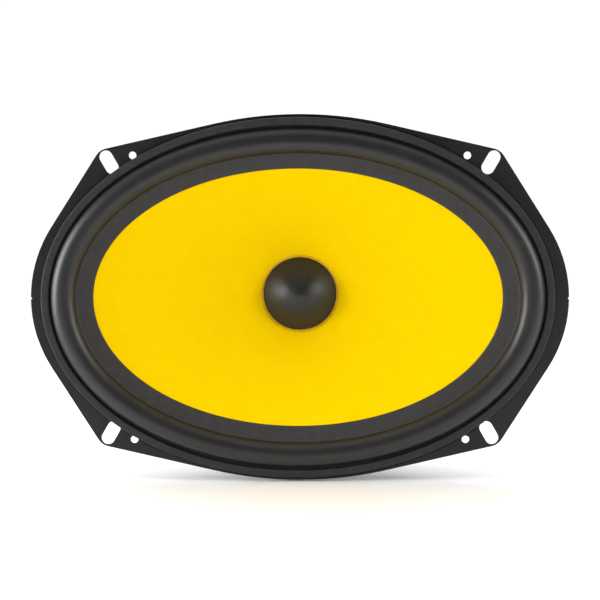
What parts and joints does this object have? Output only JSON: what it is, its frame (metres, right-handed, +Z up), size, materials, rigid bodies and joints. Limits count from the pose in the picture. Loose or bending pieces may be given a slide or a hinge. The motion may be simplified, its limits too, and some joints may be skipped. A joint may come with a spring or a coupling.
{
  "type": "oval car woofer",
  "caption": "Oval car loudspeaker driver: stamped steel basket, half-roll rubber surround, yellow paper cone, pointed black dust cap and a rear magnet motor.",
  "frame": {"origin": "centre of the mounting flange's rear face, on the cone's axis", "axes": "+X along the oval's long axis, +Z up along its short axis, the front faces -Y"},
  "size_m": [0.236, 0.0797, 0.161],
  "materials": {
    "black_steel": "satin black paint on pressed steel",
    "gasket_rubber": "satin moulded rubber",
    "surround_rubber": "satin butyl rubber",
    "yellow_cone": "fine-grained yellow coated cone",
    "cap_black": "satin black dome",
    "glue": "set black adhesive",
    "former_aluminium": "thin rolled aluminium",
    "copper_wire": "enamelled copper wire",
    "wrap_paper": "brown kraft paper",
    "spider_cloth": "resin-stiffened woven cotton",
    "zinc_steel": "bright zinc plate",
    "ferrite": "sintered ferrite, ground faces",
    "screen_mesh": "fine woven wire",
    "board_laminate": "brown paper laminate",
    "tab_brass": "tinned brass",
    "tinsel_lead": "braided tinsel"
  },
  "bodies": {
    "frame": {"basket": "black_steel", "gasket_ring": "gasket_rubber", "top_plate": "zinc_steel", "magnet": "ferrite", "yoke": "zinc_steel", "vent_screen": "screen_mesh", "motor_rivets": "zinc_steel", "terminal_board": "board_laminate", "positive_terminal": "tab_brass", "negative_terminal": "tab_brass", "terminal_rivets": "tab_brass", "positive_lead": "tinsel_lead", "negative_lead": "tinsel_lead"},
    "diaphragm": {"cone": "yellow_cone", "surround": "surround_rubber", "dust_cap": "cap_black", "dust_cap_glue": "glue", "coil_former": "former_aluminium", "voice_coil": "copper_wire", "former_wrap": "wrap_paper", "neck_glue": "glue", "spider": "spider_cloth", "lead_pads": "glue"}
  },
  "joints": [
    {"name": "cone_travel", "type": "slide", "parent": "frame", "child": "diaphragm", "axis": [0, -1, 0], "range_m": [-0.005, 0.005], "stiffness_N_per_m": 1800, "deforming": ["surround", "spider", "positive_lead", "negative_lead"]}
  ]
}
